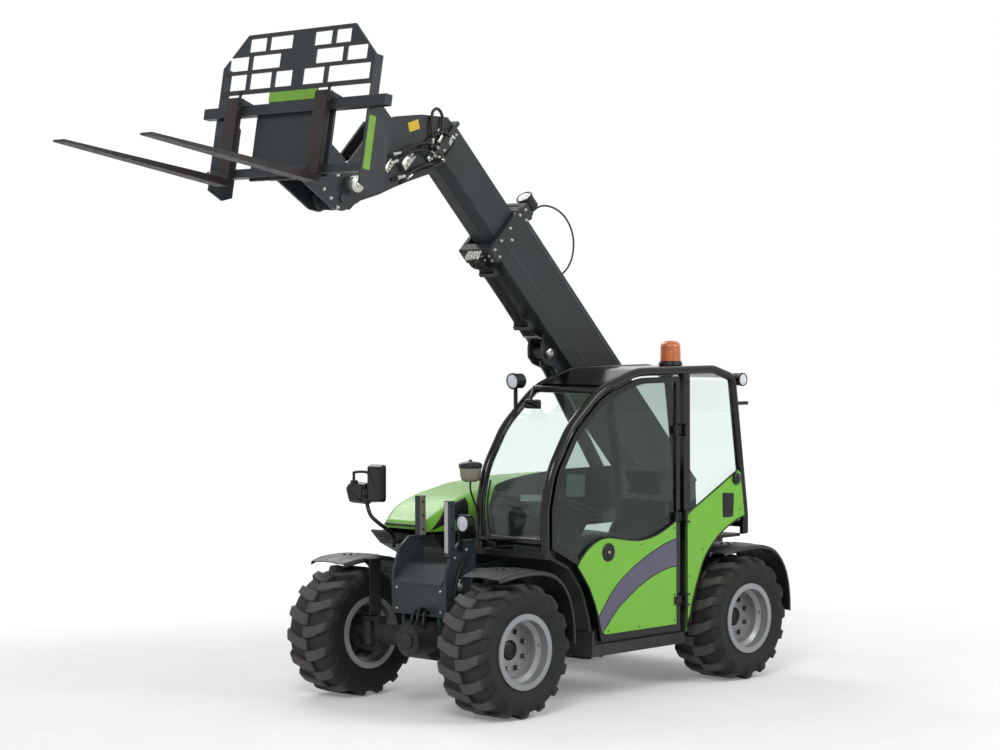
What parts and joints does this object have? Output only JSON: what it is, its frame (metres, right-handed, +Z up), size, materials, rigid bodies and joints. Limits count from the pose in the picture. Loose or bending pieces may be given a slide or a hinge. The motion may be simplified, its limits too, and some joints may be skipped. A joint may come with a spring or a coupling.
{
  "type": "telescopic loader",
  "caption": "Compact four-wheel-steered telescopic loader with side cab, raised two-stage centre boom and a pallet-fork carriage.",
  "frame": {"origin": "on the ground under the middle of the whole machine, forks and raised boom included", "axes": "+Z up, -Y the way the machine drives forward, +X its left side, where the cab is"},
  "size_m": [1.6806, 4.8374, 3.9746],
  "materials": {
    "boom_grey": "satin",
    "chassis_grey": "satin",
    "cab_black": "gloss",
    "machine_green": "gloss",
    "carriage_grey": "satin",
    "fork_steel": "worn",
    "rim_silver": "satin",
    "tyre_rubber": "matte",
    "fender_plastic": "matte",
    "bay_plastic": "matte",
    "cab_glazing": "clear",
    "seat_fabric": "woven",
    "cylinder_black": "satin",
    "chromed_rod": "polished",
    "cast_axle": "satin",
    "pipe_steel": "satin",
    "hose_rubber": "matte",
    "lamp_plastic": "gloss",
    "beacon_amber": "translucent",
    "reservoir_plastic": "matte",
    "weight_grey": "painted",
    "engine_metal": "satin"
  },
  "bodies": {
    "chassis": {"chassis_frame": "chassis_grey", "front_cover": "chassis_grey", "counterweight": "weight_grey", "front_axle": "cast_axle", "rear_axle": "cast_axle", "cab_frame": "cab_black", "cab_tub": "cab_black", "cab_glass": "cab_glazing", "cab_roof": "cab_black", "quarter_panel": "machine_green", "seat_base": "bay_plastic", "seat_cushions": "seat_fabric", "steering_column": "bay_plastic", "beacon": "beacon_amber", "lamps": "lamp_plastic", "mirror": "lamp_plastic", "reservoir": "reservoir_plastic", "engine_bay": "bay_plastic", "engine_block": "engine_metal"},
    "boom": {"boom_outer": "boom_grey", "boom_lines": "pipe_steel", "boom_lamp": "lamp_plastic", "lamp_hose": "hose_rubber"},
    "extension": {"boom_inner": "boom_grey", "boom_head": "boom_grey"},
    "carriage": {"hitch_frame": "chassis_grey", "fork_carriage": "carriage_grey", "fork_backrest": "carriage_grey"},
    "left_fork": {"fork_left": "fork_steel"},
    "right_fork": {"fork_right": "fork_steel"},
    "lift_cylinder": {"lift_barrel": "cylinder_black"},
    "lift_piston": {"lift_rod": "chromed_rod"},
    "tilt_cylinder": {"tilt_barrel": "cylinder_black"},
    "tilt_piston": {"tilt_rod": "chromed_rod"},
    "door": {"door_frame": "cab_black", "door_panel": "machine_green", "door_glass": "cab_glazing"},
    "hood": {"engine_hood": "machine_green"},
    "steer_front_left": {"knuckle_front_left": "cast_axle", "fender_front_left": "fender_plastic"},
    "wheel_front_left": {"tyre_front_left": "tyre_rubber", "rim_front_left": "rim_silver"},
    "steer_front_right": {"knuckle_front_right": "cast_axle", "fender_front_right": "fender_plastic"},
    "wheel_front_right": {"tyre_front_right": "tyre_rubber", "rim_front_right": "rim_silver"},
    "steer_rear_left": {"knuckle_rear_left": "cast_axle", "fender_rear_left": "fender_plastic"},
    "wheel_rear_left": {"tyre_rear_left": "tyre_rubber", "rim_rear_left": "rim_silver"},
    "steer_rear_right": {"knuckle_rear_right": "cast_axle", "fender_rear_right": "fender_plastic"},
    "wheel_rear_right": {"tyre_rear_right": "tyre_rubber", "rim_rear_right": "rim_silver"}
  },
  "joints": [
    {"name": "boom_lift", "type": "hinge", "parent": "chassis", "child": "boom", "pos_m": [0, 2.09267, 1.2], "axis": [-1, 0, 0], "range_deg": [-49, 20]},
    {"name": "boom_extend", "type": "slide", "parent": "boom", "child": "extension", "axis": [0, -0.6947, 0.7193], "range_m": [-0.6, 0.3]},
    {"name": "carriage_tilt", "type": "hinge", "parent": "extension", "child": "carriage", "pos_m": [0, -0.86708, 3.0197], "axis": [-1, 0, 0], "range_deg": [-70, 42]},
    {"name": "fork_left_slide", "type": "slide", "parent": "carriage", "child": "left_fork", "axis": [1, 0, 0], "range_m": [-0.025, 0.29]},
    {"name": "fork_right_slide", "type": "slide", "parent": "carriage", "child": "right_fork", "axis": [1, 0, 0], "range_m": [-0.095, 0.22]},
    {"name": "lift_cylinder_swing", "type": "hinge", "parent": "boom", "child": "lift_cylinder", "pos_m": [0, 0.91602, 2.10031], "axis": [-1, 0, 0], "range_deg": [-1.5, 2.5]},
    {"name": "lift_piston_slide", "type": "slide", "parent": "lift_cylinder", "child": "lift_piston", "axis": [0, 0.5762, -0.8173], "range_m": [-0.42, 0.17]},
    {"name": "tilt_cylinder_swing", "type": "hinge", "parent": "extension", "child": "tilt_cylinder", "pos_m": [0, -0.04298, 3.43601], "axis": [-1, 0, 0], "range_deg": [-3, 3]},
    {"name": "tilt_piston_slide", "type": "slide", "parent": "tilt_cylinder", "child": "tilt_piston", "axis": [0, -0.955, -0.2965], "range_m": [-0.12, 0.17]},
    {"name": "cab_door", "type": "hinge", "parent": "chassis", "child": "door", "pos_m": [0.771, 1.40267, 1.08], "axis": [0, 0, 1], "range_deg": [0, 100]},
    {"name": "engine_hood_lift", "type": "hinge", "parent": "chassis", "child": "hood", "pos_m": [-0.47, 1.60067, 1.005], "axis": [-1, 0, 0], "range_deg": [0, 55]},
    {"name": "steer_front_left", "type": "hinge", "parent": "chassis", "child": "steer_front_left", "pos_m": [0.5, -0.11733, 0.395], "axis": [0, 0, 1], "range_deg": [-30, 30]},
    {"name": "spin_front_left", "type": "hinge", "parent": "steer_front_left", "child": "wheel_front_left", "pos_m": [0.651, -0.11733, 0.395], "axis": [1, 0, 0], "continuous": true},
    {"name": "steer_rear_left", "type": "hinge", "parent": "chassis", "child": "steer_rear_left", "pos_m": [0.5, 1.96867, 0.395], "axis": [0, 0, 1], "range_deg": [-30, 30]},
    {"name": "spin_rear_left", "type": "hinge", "parent": "steer_rear_left", "child": "wheel_rear_left", "pos_m": [0.651, 1.96867, 0.395], "axis": [1, 0, 0], "continuous": true},
    {"name": "steer_front_right", "type": "hinge", "parent": "chassis", "child": "steer_front_right", "pos_m": [-0.5, -0.11733, 0.395], "axis": [0, 0, 1], "range_deg": [-30, 30]},
    {"name": "spin_front_right", "type": "hinge", "parent": "steer_front_right", "child": "wheel_front_right", "pos_m": [-0.651, -0.11733, 0.395], "axis": [1, 0, 0], "continuous": true},
    {"name": "steer_rear_right", "type": "hinge", "parent": "chassis", "child": "steer_rear_right", "pos_m": [-0.5, 1.96867, 0.395], "axis": [0, 0, 1], "range_deg": [-30, 30]},
    {"name": "spin_rear_right", "type": "hinge", "parent": "steer_rear_right", "child": "wheel_rear_right", "pos_m": [-0.651, 1.96867, 0.395], "axis": [1, 0, 0], "continuous": true}
  ],
  "couplings": [
    {"joint": "lift_cylinder_swing", "follows": "boom_lift", "ratio": -0.0372},
    {"joint": "lift_piston_slide", "follows": "boom_lift", "m_per_rad": 0.4259},
    {"joint": "tilt_cylinder_swing", "follows": "carriage_tilt", "ratio": -0.0174},
    {"joint": "tilt_piston_slide", "follows": "carriage_tilt", "m_per_rad": -0.12313},
    {"joint": "steer_front_right", "follows": "steer_front_left", "ratio": 1},
    {"joint": "steer_rear_right", "follows": "steer_rear_left", "ratio": 1}
  ]
}
